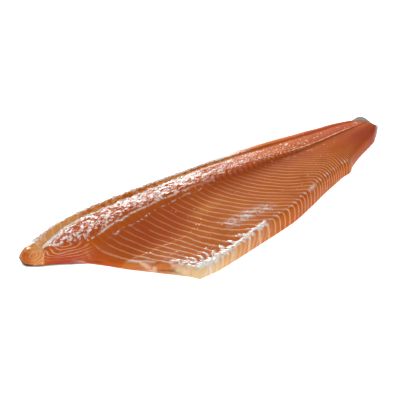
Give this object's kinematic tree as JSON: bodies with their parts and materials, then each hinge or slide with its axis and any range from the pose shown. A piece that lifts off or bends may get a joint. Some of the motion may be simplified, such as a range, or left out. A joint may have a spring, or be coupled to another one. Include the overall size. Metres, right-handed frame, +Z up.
{
  "type": "raw salmon trout fillet",
  "caption": "Raw salmon trout fillet lying on its skin: thick loin, dorsal furrow, spine line, rib hollow and thinner belly flap, tapering to the tail.",
  "frame": {"origin": "under the middle of the fillet: the centre of the bounding box in X and Y, at the skin's underside", "axes": "+X runs from the head end to the tail, -Y is the belly side, +Y is the back, +Z is up from the skin to the flesh side"},
  "size_m": [0.404, 0.14, 0.0266],
  "materials": {
    "flesh": "moist raw orange fish flesh with pale muscle lines, paler gold towards the belly edge",
    "skin": "moist scaled fish skin, olive grey with dark spots at the back, silvery on the flank, pale at the belly"
  },
  "bodies": {
    "root": {"flesh": "flesh", "skin": "skin"}
  },
  "joints": []
}
